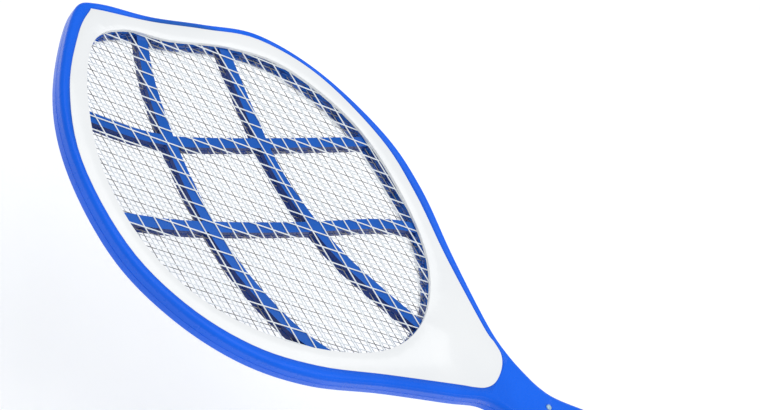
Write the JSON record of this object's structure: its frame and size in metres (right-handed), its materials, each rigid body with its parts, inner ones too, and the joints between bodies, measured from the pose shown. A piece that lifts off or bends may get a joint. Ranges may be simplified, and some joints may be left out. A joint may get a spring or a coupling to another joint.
{
  "type": "electric fly swatter",
  "caption": "Racket-shaped handheld insect zapper: leaf-shaped framed head with layered wire nets and curved ribs on a battery handle with push button and slide switch.",
  "frame": {"origin": "middle of the outline on the flat back face that the swatter lies on", "axes": "+Y towards the tip of the head, +Z out of the front face with the button and bezel, +X to the right seen from the front with the handle down"},
  "size_m": [0.2042, 0.5248, 0.0274],
  "materials": {
    "shell_blue": "glossy royal blue moulded plastic",
    "bezel_white": "glossy white moulded plastic",
    "net_white": "white coated strands",
    "net_grey": "bare drawn metal strands",
    "screw_steel": "zinc plated",
    "control_white": "satin white plastic",
    "part_black": "moulded component case",
    "switch_metal": "tinned switch can",
    "lens_blue": "clear pale blue plastic lens",
    "led_white": "diffused LED body",
    "board_green": "solder-masked board",
    "ferrite": "sintered ferrite",
    "coil_tape": "yellow tape over the winding",
    "capacitor_red": "dipped film capacitor",
    "resistor_tan": "lacquered resistor body",
    "cell_wrap": "plain printed wrap, no text",
    "contact_nickel": "nickel plated spring steel",
    "lead_red": "red insulated wire",
    "lead_black": "black insulated wire"
  },
  "bodies": {
    "base": {"front_housing": "shell_blue", "rear_housing": "shell_blue", "end_cap": "shell_blue", "front_bezel": "bezel_white", "rear_bezel": "bezel_white", "front_net": "net_white", "centre_net": "net_grey", "rear_net": "net_white", "rim_screws": "screw_steel", "handle_screws": "screw_steel", "tact_switch": "part_black", "slide_switch": "switch_metal", "indicator_lens": "lens_blue", "indicator_led": "led_white", "circuit_board": "board_green", "board_screws": "screw_steel", "transformer_core": "ferrite", "transformer_coil": "coil_tape", "hv_capacitor": "capacitor_red", "diodes": "part_black", "resistors": "resistor_tan", "transistor": "part_black", "battery_cells": "cell_wrap", "contact_springs": "contact_nickel", "contact_plates": "contact_nickel", "hv_lead": "lead_red", "ground_leads": "lead_black", "battery_leads": "lead_red"},
    "push_button": {"push_button": "control_white", "button_plunger": "part_black"},
    "slide_knob": {"slide_knob": "control_white", "slide_actuator": "part_black"},
    "battery_cover": {"battery_cover": "shell_blue"}
  },
  "joints": [
    {"name": "button_press", "type": "slide", "parent": "base", "child": "push_button", "axis": [0, 0, -1], "range_m": [0, 0.0015], "stiffness_N_per_m": 600, "springref_m": -0.0005},
    {"name": "knob_slide", "type": "slide", "parent": "base", "child": "slide_knob", "axis": [0, 1, 0], "range_m": [0, 0.004]},
    {"name": "cover_hinge", "type": "hinge", "parent": "base", "child": "battery_cover", "pos_m": [0, -0.24144, 0.0016], "axis": [-1, 0, 0], "range_deg": [0, 95]}
  ]
}
